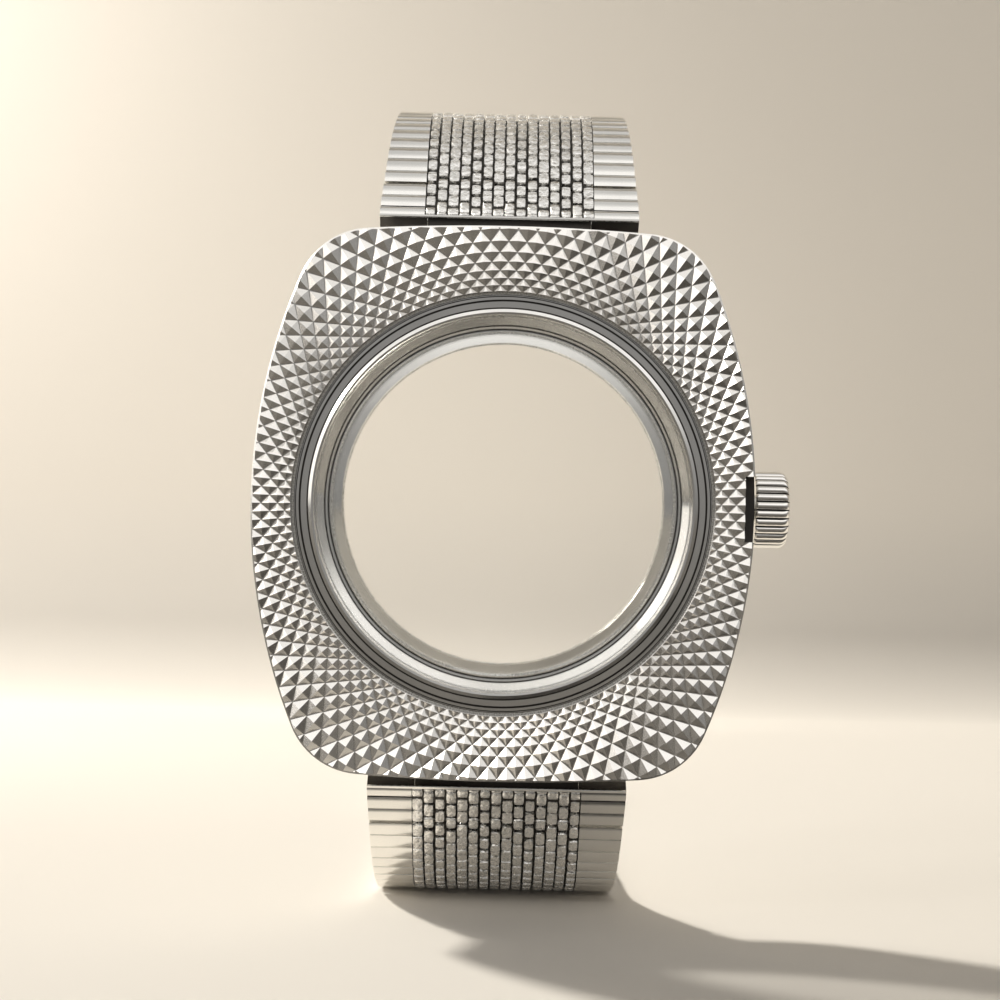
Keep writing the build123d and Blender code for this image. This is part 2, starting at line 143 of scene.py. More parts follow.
lip_ease = 0.03
knuckle_nose = 0.35
lug_room_half = 6.36
lug_room_end = 0.95

# Beads: width, height, start and end as shares of the column pitch, the bead's top and the row pitch
bead_shares = {
    "boxed": (0.8473, 0.7021, 0.0857, 0.9143),
    "narrow": (0.8702, 0.6596, 0.5429, 1.4571),
    "scalloped": (0.9618, 0.7234, 0.0071, 0.9929),
}
# Beads on the end bar, from and to, as shares of the row pitch; the narrow columns have a stub at the lip
first_bead_shares = {
    "boxed": [(-0.4143, 0.1714)],
    "narrow": [(-0.4143, -0.2571), (-0.2286, 0.6571)],
    "scalloped": [(-0.4143, 0.1714)],
}
COLUMN_ORDER = ("boxed", "narrow", "scalloped", "narrow")
# Points along each edge of a bead's block, and points that each flat row of the bed adds to its side view
bead_grid = 4
points_per_bed_row = 3
# The bead tree's inputs, in metres
BEAD_INPUTS = {
    "Column Pitch": bead_field / bead_columns * MM,
    "Bead Top": bead_top * MM,
    "Row Pitch": row_pitch * MM,
}

# The two halves, with leans in degrees: at the case, rows before the bend, added by each row, last, and links
UPPER = {"start": 40.0, "straight_rows": 3, "turn": 5.0, "final": 110.0, "links": 3}
LOWER = {"start": 36.0, "straight_rows": 2, "turn": 5.5, "final": 90.0, "links": 5}

# Bevels of the pieces that keep their CAD shape: body, slot, finish and width
case_bevel = 0.12
clasp_bevel = 0.15
blade_bevel = 0.08
BEVELLED = {
    "case_middle": ("case", "case_steel", "case", case_bevel),
    "clasp_cover": ("clasp", "clasp_steel", "slat", clasp_bevel),
    "clasp_blade": ("clasp_blade", "clasp_steel", "slat", blade_bevel),
    "upper_hook_link": ("upper_hook", "bracelet_steel", "slat", blade_bevel),
}

# Range in which most of a noise lies
noise_range = (0.3, 0.7)

# Finishes: colour, roughness, stretch of the grain where it is brushed, and depth of the grain
TURNED = {
    "turned_ring": ((0.78, 0.77, 0.75), 0.13, 0.0015),
    "bright_ring": ((0.88, 0.87, 0.84), 0.08, 0.0006),
}
SATIN = {
    "case_satin": ((0.80, 0.79, 0.76), 0.26, (1, 0.12, 1), 0.006),
    "crown_polish": ((0.88, 0.86, 0.83), 0.12, (0.2, 1, 1), 0.003),
    "slat_polish": ((0.86, 0.85, 0.82), 0.20, (0.15, 1, 1), 0.004),
    # The last is not a finish but painted shade: near-black steel put in recesses, slots and between steps,
    # where shade falls
    "painted_shade_steel": ((0.07, 0.065, 0.06), 0.5, (1, 1, 1), 0.004),
}
graver_depth = 0.003
hammer_depth = 0.16
rubber_depth = 0.01

# Floor that bends up into a wall
floor_colour = (0.84, 0.80, 0.74, 1)
floor_level = -32.15
floor_start_y = -1400.0
floor_half = 900.0
wall_foot_y = 168.0
wall_bend_r = 34.0
wall_height = 800.0
wall_bend_steps = 24

# Painted reflection: share of the floor's brightness that metal mirrors, darker in front of the case as
# painted shadow and brighter under it as painted light
front_floor_share = 0.19
under_floor_share = 1.15
front_floor_y = -13.0
under_floor_y = -7.5

# Sky: its strength on the floor, and its strength in the metal by the sine of its height
sky_on_floor = 0.16
sky_seen = 0.62
sky_levels = [(0.0, 0.25), (0.22, 0.36), (0.48, 1.15), (0.85, 1.15), (1.0, 0.65)]
sky_colour = (1.0, 0.98, 0.95, 1)

# Lamps: kind, place, target and width as shares of the studio, then strength and colour
studio = 100.0
sun_angle = 5
lamp_shares = {
    "sun": ("SUN", (-0.90, 0.86, 1.00), (0, 0, 0), 0),
    "left box": ("AREA", (-3.30, -1.70, 1.20), (0, 0, 0), 2.60),
    "wall light": ("AREA", (-1.45, 1.10, 1.05), (-0.50, 2.02, 0.30), 0.60),
    "low wall light": ("AREA", (0, 1.46, 0.04), (0, 2.02, 0), 0.60),
    "glint": ("AREA", (-2.06, -1.76, 1.29), (0, 0, 0), 0.34),
}
lamp_light = {
    "sun": (3.0, (1.0, 0.96, 0.88)),
    "left box": (0.25, (1.0, 0.95, 0.88)),
    "wall light": (0.13, (1.0, 0.95, 0.87)),
    "low wall light": (0.005, (1.0, 0.95, 0.87)),
    "glint": (0.06, (1.0, 0.97, 0.92)),
}

# Camera, level on the case's axis
camera_y = -174.4
camera_roll = -1.3
camera_lens = 80.5
camera_sensor = 36
camera_shift = (-0.003, 0.004)
camera_near = 1.0
camera_far = 5000.0

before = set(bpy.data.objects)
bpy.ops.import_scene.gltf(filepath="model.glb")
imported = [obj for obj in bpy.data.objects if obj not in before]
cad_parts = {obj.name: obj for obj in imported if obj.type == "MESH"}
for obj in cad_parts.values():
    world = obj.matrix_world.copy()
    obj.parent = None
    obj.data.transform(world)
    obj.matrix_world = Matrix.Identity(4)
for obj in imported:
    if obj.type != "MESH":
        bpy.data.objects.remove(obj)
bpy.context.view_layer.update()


# Meshes and pieces

def mesh_of(name, points, faces):
    """A mesh from points in millimetres, with its faces turned outwards."""
    mesh = bpy.data.meshes.new(name)
    mesh.from_pydata([Vector(p) * MM for p in points], [], faces)
    work = bmesh.new()
    work.from_mesh(mesh)
    bmesh.ops.recalc_face_normals(work, faces=work.faces)
    work.to_mesh(mesh)
    work.free()
    return mesh


def shade(mesh, sharp_angle):
    """Smooth shading, broken at edges sharper than the angle."""
    mesh.shade_smooth()
    mesh.set_sharp_from_angle(angle=radians(sharp_angle))


def placed(name, data):
    """New object in the scene."""
    obj = bpy.data.objects.new(name, data)
    bpy.context.scene.collection.objects.link(obj)
    return obj


def piece(name, mesh, material, body, replaced=()):
    """Put a finished mesh in the scene, riding on its body."""
    obj = placed(name, mesh)
    if not mesh.materials:
        mesh.materials.append(material)
    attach(obj, body)
    if replaced:
        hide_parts(*replaced)


def joined(name, meshes):
    """Several meshes as one."""
    work = bmesh.new()
    for mesh in meshes:
        work.from_mesh(mesh)
    whole = bpy.data.meshes.new(name)
    work.to_mesh(whole)
    work.free()
    for material in meshes[0].materials:
        whole.materials.append(material)
    return whole


def eased(points, ease):
    """Cut every corner of a closed line by a small chamfer."""
    cut = []
    for k, (x, y) in enumerate(points):
        for other in (points[k - 1], points[(k + 1) % len(points)]):
            run = hypot(other[0] - x, other[1] - y)
            share = min(ease / run, 1 / 3)
            cut.append((x + (other[0] - x) * share, y + (other[1] - y) * share))
    return cut


def loops_mesh(name, loops, closed=True):
    """Skin between loops of as many points each; a closed skin joins the last loop to the first."""
    count = len(loops[0])
    points = [point for loop in loops for point in loop]
    faces = []
    pairs = len(loops) if closed else len(loops) - 1
    for k in range(pairs):
        here = k * count
        there = (k + 1) % len(loops) * count
        for i in range(count):
            j = (i + 1) % count
            faces.append((here + i, here + j, there + j, there + i))
    if not closed:
        faces.append(tuple(range(count)))
        faces.append(tuple((len(loops) - 1) * count + i for i in range(count)))
    return mesh_of(name, points, faces)


def turned(section, segments):
    """Loops of a section of (radius, level) points, turned about the case's axis."""
    turns = [2 * pi * k / segments for k in range(segments)]
    return [[(radius * sin(turn), level, radius * cos(turn)) for turn in turns] for radius, level in section]


def section_of(sizes, shares):
    """Points (radius, level) of a ring's section from its sizes and shares of them."""
    width = sizes["outer"] - sizes["inner"]
    depth = sizes["back"] - sizes["front"]
    return [(sizes["inner"] + across * width, sizes["front"] + deep * depth) for across, deep in shares]


def ring_mesh(name, section, segments=ring_segments):
    """Turn a closed section of (radius, level) points about the case's axis."""
    mesh = loops_mesh(name, turned(section, segments))
    shade(mesh, CREASE["ring"])
    return mesh


def disc_mesh(name, radius, front, back, ease):
    """Flat disc with eased edges."""
    section = [(radius - ease, front), (radius, front + ease), (radius, back - ease), (radius - ease, back)]
    mesh = loops_mesh(name, turned(section, glass_segments), closed=False)
    shade(mesh, CREASE["glass"])
    return mesh


def bevelled_copy(name, width):
    """Copy of a CAD node's mesh with its edges broken by a small bevel."""
    work = bmesh.new()
    work.from_mesh(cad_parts[name].data)
    bmesh.ops.remove_doubles(work, verts=work.verts, dist=same_point * MM)
    bmesh.ops.dissolve_limit(work, angle_limit=radians(flat_angle), verts=work.verts, edges=work.edges)
    mesh = bpy.data.meshes.new(name + "_soft")
    work.to_mesh(mesh)
    work.free()
    obj = placed(name + "_soft", mesh)
    bevel = obj.modifiers.new("edges", "BEVEL")
    bevel.width = width * MM
    bevel.segments = 2
    bevel.limit_method = "ANGLE"
    bevel.angle_limit = radians(bevel_angle)
    result = evaluated(obj)
    # Finer than the bevel's own steps, so that a flat face stays flat beside it
    shade(result, CREASE["ring"])
    return result


def evaluated(obj):
    """The object's mesh with its modifiers applied; the object itself is removed."""
    graph = bpy.context.evaluated_depsgraph_get()
    mesh = bpy.data.meshes.new_from_object(obj.evaluated_get(graph))
    bpy.data.objects.remove(obj)
    return mesh


# Materials

def shader(name, colour, metallic, roughness):
    """New material; returns it, its node tree and its Principled shader."""
    material = bpy.data.materials.new(name)
    material.use_nodes = True
    tree = material.node_tree
    surface = tree.nodes["Principled BSDF"]
    surface.inputs["Base Color"].default_value = (*colour, 1)
    surface.inputs["Metallic"].default_value = metallic
    surface.inputs["Roughness"].default_value = roughness
    return material, tree, surface


def feed(tree, value, socket):
    """Give an input socket a value, or a link from another node's socket."""
    if isinstance(value, bpy.types.NodeSocket):
        tree.links.new(value, socket)
    else:
        socket.default_value = value


def node(tree, kind, *inputs, **values):
    """New node; inputs are fed in order, then properties or inputs by name."""
    made = tree.nodes.new(kind)
    for key, value in values.items():
        if key in made.inputs:
            feed(tree, value, made.inputs[key])
        else:
            setattr(made, key, value)
    for socket, value in zip(made.inputs, inputs):
        feed(tree, value, socket)
    return made


def mixed(tree, kind, share, first, second, blend="MIX"):
    """Mix of two colours or two numbers, each given as a value or a socket."""
    mix = node(tree, "ShaderNodeMix", data_type=kind)
    # The node keeps its number inputs at 2 and 3 and its colour inputs at 6 and 7
    start, result = {"FLOAT": (2, 0), "RGBA": (6, 2)}[kind]
    if kind == "RGBA":
        mix.blend_type = blend
    for index, value in ((0, share), (start, first), (start + 1, second)):
        feed(tree, value, mix.inputs[index])
    return mix.outputs[result]


def object_place(tree, stretch=(1, 1, 1)):
    """Object coordinates, scaled so that a grain can be stretched one way."""
    place = node(tree, "ShaderNodeTexCoord")
    return node(tree, "ShaderNodeMapping", place.outputs["Object"], Scale=stretch).outputs["Vector"]


def distance_from_axis(tree):
    """Distance from the case's axis, for turned grain."""
    flat_place = object_place(tree, (1, 0, 1))
    return node(tree, "ShaderNodeVectorMath", flat_place, operation="LENGTH").outputs["Value"]


def grain(tree, place, fineness, detail=2.0, along="3D"):
    """Noise on a place or on one number."""
    noise = node(tree, "ShaderNodeTexNoise", noise_dimensions=along, Scale=fineness, Detail=detail)
    tree.links.new(place, noise.inputs["W" if along == "1D" else "Vector"])
    return noise.outputs["Fac"]


def between(tree, value, low, high):
    """Map a noise of middle values to a range."""
    return node(tree, "ShaderNodeMapRange", value, *noise_range, low, high).outputs["Result"]


def tone(tree, surface, value, dark, light):
    """Vary the colour between two tones."""
    shade_of = mixed(tree, "RGBA", between(tree, value, 0, 1), (*dark, 1), (*light, 1))
    tree.links.new(shade_of, surface.inputs["Base Color"])


def tone_by_share(tree, surface, value, colour, dark_share, light_share):
    """Vary the colour between two shares of it."""
    tone(tree, surface, value, [part * dark_share for part in colour],
         [min(part * light_share, 1) for part in colour])


def roughen(tree, surface, value, low, high):
    """Vary the roughness with a noise."""
    tree.links.new(between(tree, value, low, high), surface.inputs["Roughness"])


def relief(tree, surface, value, depth, strength):
    """Bump from a noise, with its depth in millimetres."""
    bump = node(tree, "ShaderNodeBump", Strength=strength, Distance=depth * MM, Height=value)
    tree.links.new(bump.outputs["Normal"], surface.inputs["Normal"])


def engraved_steel():
    """Cut facets: bright, with a fine grain left by the graver."""
    material, tree, surface = shader("engraved_steel", (0.86, 0.84, 0.81), metallic=1.0, roughness=0.2)
    fine = grain(tree, object_place(tree), fineness=9000, detail=3.0)
    broad = grain(tree, object_place(tree), fineness=260)
    roughen(tree, surface, fine, low=0.15, high=0.26)
    tone(tree, surface, broad, dark=(0.82, 0.80, 0.77), light=(0.90, 0.88, 0.85))
    relief(tree, surface, fine, graver_depth, strength=0.5)
    return material


def turned_steel(name):
    """Turned metal with concentric lines of several widths."""
    colour, roughness, depth = TURNED[name]
    material, tree, surface = shader(name, colour, metallic=1.0, roughness=roughness)
    lines = grain(tree, distance_from_axis(tree), fineness=14000, detail=3.0, along="1D")
    broad = grain(tree, object_place(tree), fineness=160)
    roughen(tree, surface, lines, low=roughness * 0.7, high=roughness * 1.4)
    tone_by_share(tree, surface, broad, colour, dark_share=0.93, light_share=1.05)
    relief(tree, surface, lines, depth, strength=0.6)
    return material


def satin_steel(name):
    """Brushed metal whose grain is stretched one way."""
    colour, roughness, stretch, depth = SATIN[name]
    material, tree, surface = shader(name, colour, metallic=1.0, roughness=roughness)
    lines = grain(tree, object_place(tree, stretch), fineness=12000, detail=3.0)
    broad = grain(tree, object_place(tree), fineness=200)
    roughen(tree, surface, lines, low=roughness * 0.75, high=roughness * 1.3)
    tone_by_share(tree, surface, broad, colour, dark_share=0.94, light_share=1.04)
    relief(tree, surface, lines, depth, strength=0.5)
    return material


def frosted_steel():
    """Hammered, frosted beads."""
    material, tree, surface = shader("frosted_steel", (0.90, 0.89, 0.86), metallic=1.0, roughness=0.30)
    crumple = grain(tree, object_place(tree), fineness=2600, detail=4.0)
    broad = grain(tree, object_place(tree), fineness=1500)
    roughen(tree, surface, crumple, low=0.14, high=0.40)
    tone(tree, surface, broad, dark=(0.84, 0.83, 0.80), light=(0.97, 0.96, 0.94))
    relief(tree, surface, crumple, hammer_depth, strength=1.0)
    return material


def clear_glass():
    """Flat watch glass with a faint smear."""
    material, tree, surface = shader("clear_glass", (0.97, 0.98, 0.97), metallic=0.0, roughness=0.02)
    surface.inputs["Transmission Weight"].default_value = 1.0
    surface.inputs["IOR"].default_value = 1.5
    surface.inputs["Alpha"].default_value = 0.18
    roughen(tree, surface, grain(tree, object_place(tree), fineness=300), low=0.01, high=0.04)
    return material


def gasket_rubber():
    """Dark moulded rubber."""
    material, tree, surface = shader("gasket_rubber", (0.03, 0.03, 0.03), metallic=0.0, roughness=0.6)
    fine = grain(tree, object_place(tree), fineness=5000)
    roughen(tree, surface, fine, low=0.5, high=0.75)
    relief(tree, surface, fine, rubber_depth, strength=0.4)
    return material


def floor_paper():
    """Pale paper that the camera sees through from behind.

    Metal mirrors it darker in front of the case, a painted shadow, and brighter under it, a painted light."""
    material, tree, surface = shader("floor_paper", floor_colour[:3], metallic=0.0, roughness=0.9)
    path = node(tree, "ShaderNodeLightPath")
    parts = node(tree, "ShaderNodeSeparateXYZ", object_place(tree))
    # Painted reflection: glossy rays see the floor darker in front of the case and brighter under it
    share = node(tree, "ShaderNodeMapRange", parts.outputs["Y"], front_floor_y * MM, under_floor_y * MM,
                 front_floor_share, under_floor_share)
    mirrored = node(tree, "ShaderNodeMath", path.outputs["Is Glossy Ray"],
                    path.outputs["Is Transmission Ray"], operation="SUBTRACT", use_clamp=True)
    lowered = mixed(tree, "RGBA", 1.0, floor_colour, share.outputs["Result"], blend="MULTIPLY")
    colour = mixed(tree, "RGBA", mirrored.outputs["Value"], floor_colour, lowered)
    tree.links.new(colour, surface.inputs["Base Color"])
    clear = node(tree, "ShaderNodeBsdfTransparent")
    geometry = node(tree, "ShaderNodeNewGeometry")
    behind = node(tree, "ShaderNodeMath", geometry.outputs["Backfacing"], path.outputs["Is Camera Ray"],
                  operation="MULTIPLY")
    either = node(tree, "ShaderNodeMixShader", behind.outputs["Value"], surface.outputs["BSDF"],
                  clear.outputs["BSDF"])
    tree.links.new(either.outputs["Shader"], tree.nodes["Material Output"].inputs["Surface"])
    return material


# Geometry Nodes trees that put a shape on points

def points_tree(name, inputs, shape):
    """Tree that sets a shape on every point, turned and sized by the points' own attributes.

    inputs are the tree's named sizes; shape(tree, given, size) returns the shape's socket and its scale's."""
    tree = bpy.data.node_groups.new(name, "GeometryNodeTree")
    sockets = [("Points", "Geometry"), ("Finish", "Material"), *((each, "Float") for each in inputs)]
    for label, kind in sockets:
        tree.interface.new_socket(label, in_out="INPUT", socket_type="NodeSocket" + kind)
    tree.interface.new_socket("Geometry", in_out="OUTPUT", socket_type="NodeSocketGeometry")
    given = node(tree, "NodeGroupInput")
    turn = node(tree, "GeometryNodeInputNamedAttribute", data_type="FLOAT_VECTOR", Name="turn")
    size = node(tree, "GeometryNodeInputNamedAttribute", data_type="FLOAT_VECTOR", Name="size")
    rotation = node(tree, "FunctionNodeEulerToRotation", turn.outputs["Attribute"])
    form, scale = shape(tree, given, size.outputs["Attribute"])
    place = node(tree, "GeometryNodeInstanceOnPoints", Rotation=rotation.outputs["Rotation"], Scale=scale)
    tree.links.new(given.outputs["Points"], place.inputs["Points"])
    tree.links.new(form, place.inputs["Instance"])
    real = node(tree, "GeometryNodeRealizeInstances", place.outputs["Instances"])
    finish = node(tree, "GeometryNodeSetMaterial", Geometry=real.outputs["Geometry"])
    tree.links.new(given.outputs["Finish"], finish.inputs["Material"])
    node(tree, "NodeGroupOutput", finish.outputs["Geometry"])
    return tree


def pyramid_shape(tree, given, size):
    """Four-sided pyramid of unit half diagonals, drawn in by the groove's flat, with its tip to the front."""
    kept = node(tree, "ShaderNodeMath", 1, given.outputs["Groove Flat Share"], operation="SUBTRACT")
    cone = node(tree, "GeometryNodeMeshCone", Vertices=4, Depth=1)
    cone.inputs["Radius Top"].default_value = 0
    tree.links.new(kept.outputs["Value"], cone.inputs["Radius Bottom"])
    turned_cone = node(tree, "GeometryNodeTransform", cone.outputs["Mesh"], Rotation=(radians(90), 0, 0))
    return turned_cone.outputs["Geometry"], size


def bead_shape(tree, given, size):
    """Unit block whose grid is pulled in towards its edges, so that a flat top ends in round edges.

    A bead's size is in shares of the column pitch, the bead's top and the row pitch."""
    cube = node(tree, "GeometryNodeMeshCube", (1, 1, 1), bead_grid, bead_grid, bead_grid)
    place = node(tree, "GeometryNodeInputPosition").outputs["Position"]
    square = node(tree, "ShaderNodeVectorMath", place, place, operation="MULTIPLY").outputs["Vector"]
    fourth = node(tree, "ShaderNodeVectorMath", square, square, operation="MULTIPLY").outputs["Vector"]
    sixth = node(tree, "ShaderNodeVectorMath", fourth, square, operation="MULTIPLY").outputs["Vector"]
    # The unit block reaches 1/2 each way, and 2 to the sixth power is 64
    total = node(tree, "ShaderNodeVectorMath", sixth, (64, 64, 64), operation="DOT_PRODUCT").outputs["Value"]
    share = node(tree, "ShaderNodeMath", total, -1 / 6, operation="POWER").outputs["Value"]
    pulled = node(tree, "ShaderNodeVectorMath", place, operation="SCALE", Scale=share).outputs["Vector"]
    moved = node(tree, "GeometryNodeSetPosition", cube.outputs["Mesh"], Position=pulled)
    smooth = node(tree, "GeometryNodeSetShadeSmooth", moved.outputs["Geometry"])
    measure = node(tree, "ShaderNodeCombineXYZ", *(given.outputs[each] for each in BEAD_INPUTS))
    scale = node(tree, "ShaderNodeVectorMath", size, measure.outputs["Vector"], operation="MULTIPLY")
    return smooth.outputs["Geometry"], scale.outputs["Vector"]


def set_on_points(name, tree, points, material, inputs, sharp_angle):
    """Run a tree on points of (place in millimetres, turn, size) and return the plain mesh."""
    cloud = bpy.data.meshes.new(name)
    cloud.from_pydata([Vector(place) * MM for place, _, _ in points], [], [])
    for label, column in (("turn", 1), ("size", 2)):
        values = cloud.attributes.new(label, "FLOAT_VECTOR", "POINT")
        values.data.foreach_set("vector", [value for point in points for value in point[column]])
    obj = placed(name, cloud)
    modifier = obj.modifiers.new("set", "NODES")
    modifier.node_group = tree
    given = {"Finish": material, **inputs}
    for item in tree.interface.items_tree:
        if item.in_out == "INPUT" and item.name in given:
            modifier[item.identifier] = given[item.name]
    mesh = evaluated(obj)
    shade(mesh, sharp_angle)
    return mesh


# Case outline

def outline(grow=0.0, side_steps=16, corner_steps=14, end_steps=14):
    """Points (x, z) round the cushion outline, starting at three o'clock."""
    side_r = side_arc_r + grow
    end_r = end_arc_r + grow
    round_r = corner_r + grow
    side_x = side_arc_r - case_width / 2
    end_z = end_arc_r - case_height / 2
    near = side_r - round_r
    far = end_r - round_r
    apart = hypot(side_x, end_z)
    along = (near ** 2 - far ** 2 + apart ** 2) / (2 * apart)
    off = (near ** 2 - along ** 2) ** 0.5
    ux, uz = side_x / apart, -end_z / apart
    centre_x = -side_x + along * ux - off * uz
    centre_z = along * uz + off * ux
    side_lean = Vector((centre_x + side_x, centre_z)).angle_signed(Vector((1, 0)))
    end_lean = Vector((centre_x, centre_z + end_z)).angle_signed(Vector((1, 0)))
    quarter = []
    for k in range(side_steps):
        turn = side_lean * k / side_steps
        quarter.append((-side_x + side_r * cos(turn), side_r * sin(turn)))
    for k in range(corner_steps):
        turn = side_lean + (end_lean - side_lean) * k / corner_steps
        quarter.append((centre_x + round_r * cos(turn), centre_z + round_r * sin(turn)))
    for k in range(end_steps):
        turn = end_lean + (pi / 2 - end_lean) * k / end_steps
        quarter.append((end_r * cos(turn), -end_z + end_r * sin(turn)))
    top = (0.0, end_r - end_z)
    upper = quarter + [top] + [(-x, z) for x, z in reversed(quarter)]
    return upper + [(x, -z) for x, z in reversed(upper[1:-1])]


def at_level(loop, level):
    """Put a front view's points at a level."""
    return [(x, level, z) for x, z in loop]


def circle_like(loop, radius):
    """A circle with as many points as a loop, each on its point's own ray."""
    return [(x * radius / hypot(x, z), z * radius / hypot(x, z)) for x, z in loop]


# Engraved bezel

def pyramid_points():
    """Places, turns and sizes in metres of the pyramids between two hands of straight grooves."""
    turn_step = pi / grooves_per_hand
    circle_r = bezel_hole_r * cos(first_groove_row * turn_step)
    points = []
    for row in range(first_groove_row, last_groove_row):
        radius = circle_r / cos(row * turn_step)
        inner = circle_r / cos((row - 1) * turn_step)
        outer = circle_r / cos((row + 1) * turn_step)
        middle = (inner + outer) / 2
        across = radius * sin(turn_step)
        height = tip_height_share * 2 * across
        level = engraving_floor_y + pyramid_sunk / 2 - height / 2
        size = (across * MM, (height + pyramid_sunk) * MM, (outer - inner) / 2 * MM)
        for groove in range(grooves_per_hand):
            angle = (2 * groove + (row + 1) % 2) * turn_step
            points.append(((middle * sin(angle), level, middle * cos(angle)), (0, angle, 0), size))
    return points


def cut_to(mesh, cutter, operation="INTERSECT"):
    """Keep what lies inside a closed cutter, or outside it."""
    obj = placed("uncut", mesh)
    tool = placed("cutter", cutter)
    cut = obj.modifiers.new("cut", "BOOLEAN")
    cut.operation = operation
    cut.solver = "EXACT"
    cut.object = tool
    result = evaluated(obj)
    bpy.data.objects.remove(tool)
    return result


def notch_box(name):
    """The notch that lets a finger reach the crown."""
    front = -2 * crown_r
    corners = [(notch_start_x, notch_floor_y), (notch_start_x, front), (crown_start_x, front),
               (crown_start_x, notch_floor_y)]
    loops = [[(x, y, z) for x, y in corners] for z in (-notch_half, notch_half)]
    return loops_mesh(name, loops, closed=False)


def paint_notch_shade(plate):
    """Painted shade: the dark second material on the notch's walls and floor."""
    for face in plate.polygons:
        x, y, z = face.center / MM
        beside_crown = abs(z) < notch_half and notch_start_x <= x + same_level
        if beside_crown and engraving_floor_y + same_level < y < notch_floor_y + same_level:
            face.material_index = 1


def make_bezel(material, dark):
    """Plate with a bright flat rim at its grooves and the cut field of pyramids on it."""
    edge = outline()
    rim = outline(-bezel_rim)
    hole = circle_like(edge, bezel_hole_r)
    plate = loops_mesh("bezel_plate_base", [
        at_level(hole, engraving_floor_y + bezel_edge),
        at_level(circle_like(edge, bezel_hole_r + bezel_edge), engraving_floor_y),
        at_level(rim, engraving_floor_y),
        at_level(rim, engraving_floor_y - bezel_rim_rise),
        at_level(edge, engraving_floor_y + bezel_rim_rise),
        at_level(edge, bezel_back_y),
        at_level(hole, bezel_back_y)])
    plate.materials.append(material)
    plate.materials.append(dark)
    plate = cut_to(plate, notch_box("plate_notch"), "DIFFERENCE")
    paint_notch_shade(plate)
    field_hole = circle_like(edge, bezel_hole_r + bezel_edge / 2)
    tall = engraving_floor_y - crown_r
    cutter = loops_mesh("bezel_cutter", [
        at_level(field_hole, tall), at_level(rim, tall), at_level(rim, bezel_back_y),
        at_level(field_hole, bezel_back_y)])
    cutter = cut_to(cutter, notch_box("cutter_notch"), "DIFFERENCE")
    inputs = {"Groove Flat Share": groove_flat_share}
    tree = points_tree("pyramids on points", inputs, pyramid_shape)
    field = set_on_points("pyramid_field", tree, pyramid_points(), material, inputs, CREASE["facet"])
    field = cut_to(field, cutter)
    field.polygons.foreach_set("material_index", [0] * len(field.polygons))
    return joined("bezel", [plate, field])


# Rings, glasses and the back

def stepped_ring(name, sizes, shares, shaded_bands, material, dark, replaced):
    """A turned ring of the case with painted shade, dark metal, on the bands between its steps."""
    mesh = ring_mesh(name, section_of(sizes, shares))
    mesh.materials.append(material)
    mesh.materials.append(dark)
    for face in mesh.polygons:
        if face.index // ring_segments in shaded_bands:
            face.material_index = 1
    piece(name, mesh, material, "case", replaced)


def make_rings(material, bright, dark):
    """The stepped crystal ring, the sloping flange ring under the glass and the dial's ledge."""
    stepped_ring("crystal_ring_turned", crystal_ring_sizes, crystal_ring_shares, crystal_ring_shaded_bands,
                 material, dark, ["crystal_ring"])
    stepped_ring("flange_ring_turned", flange_sizes, flange_shares, flange_shaded_bands,
                 bright, dark, ["flange_ring"])
    ledge = ring_mesh("dial_ledge_turned", section_of(dial_ledge_sizes, dial_ledge_shares))
    piece("dial_ledge_turned", ledge, bright, "case")


def make_glasses(material):
    """Crystal and back glass."""
    crystal = disc_mesh("crystal_clear", **crystal_size)
    piece("crystal_clear", crystal, material, "case", ["crystal"])
    back_glass = disc_mesh("back_glass_clear", **back_glass_size)
    piece("back_glass_clear", back_glass, material, "case_back", ["back_glass"])


def make_back(material, rubber):
    """Back ring and its seal."""
    ring = ring_mesh("back_ring_turned", eased(section_of(back_ring_sizes, back_ring_shares), back_ring_ease))
    piece("back_ring_turned", ring, material, "case_back", ["back_ring"])
    seal = ring_mesh("back_seal", eased(section_of(seal_sizes, seal_shares), seal_ease), seal_segments)
    piece("back_seal", seal, rubber, "case_back", ["back_gasket"])


# Crown

def crown_loop(x, radius, depth):
    """Points round the crown at one place of its length, with flutes of a depth."""
    count = crown_flutes * points_per_flute
    points = []
    for k in range(count):
        turn = 2 * pi * k / count
        swing = abs(cos(crown_flutes * turn / 2))
        here = radius - depth * (1 - swing ** 0.5)
        points.append((x, here * sin(turn), here * cos(turn)))
    return points


def make_crown(material, dark):
    """Cap with rounded flutes, rounded rims, a low dome and a bore over the tube."""
    loops = [crown_loop(crown_start_x + crown_bore_depth, crown_bore_r, 0),
             crown_loop(crown_start_x, crown_bore_r, 0)]
    turns = [pi / 2 * k / crown_round_steps for k in range(crown_round_steps + 1)]
    for turn in turns:
        radius = crown_r - crown_inner_round * (1 - sin(turn))
        loops.append(crown_loop(crown_start_x + crown_inner_round * (1 - cos(turn)), radius,
                                crown_flute_depth * sin(turn)))
    dome_x = crown_start_x + crown_length - crown_dome
    for turn in turns:
        radius = crown_r - crown_outer_round * (1 - cos(turn))
        loops.append(crown_loop(dome_x - crown_outer_round * (1 - sin(turn)), radius,
                                crown_flute_depth * cos(turn) ** 2))
    cap_r = crown_r - crown_outer_round
    for share in crown_cap_shares:
        loops.append(crown_loop(dome_x + crown_dome * (1 - share ** 2), cap_r * share, 0))
    mesh = loops_mesh("crown_fluted", loops, closed=False)
    shade(mesh, CREASE["crown"])
    mesh.materials.append(material)
    mesh.materials.append(dark)
    # Painted shade: the two faces at the bottom of each flute are dark, from the inner rim to the last band
    # before the cap
    bottoms = (points_per_flute // 2 - 1, points_per_flute // 2)
    bands = range(2, len(loops) - len(crown_cap_shares) - 2)
    for face in mesh.polygons:
        band, place = divmod(face.index, crown_flutes * points_per_flute)
        if band in bands and place % points_per_flute in bottoms:
            face.material_index = 1
    piece("crown_fluted", mesh, material, "crown", ["crown"])


# Bracelet

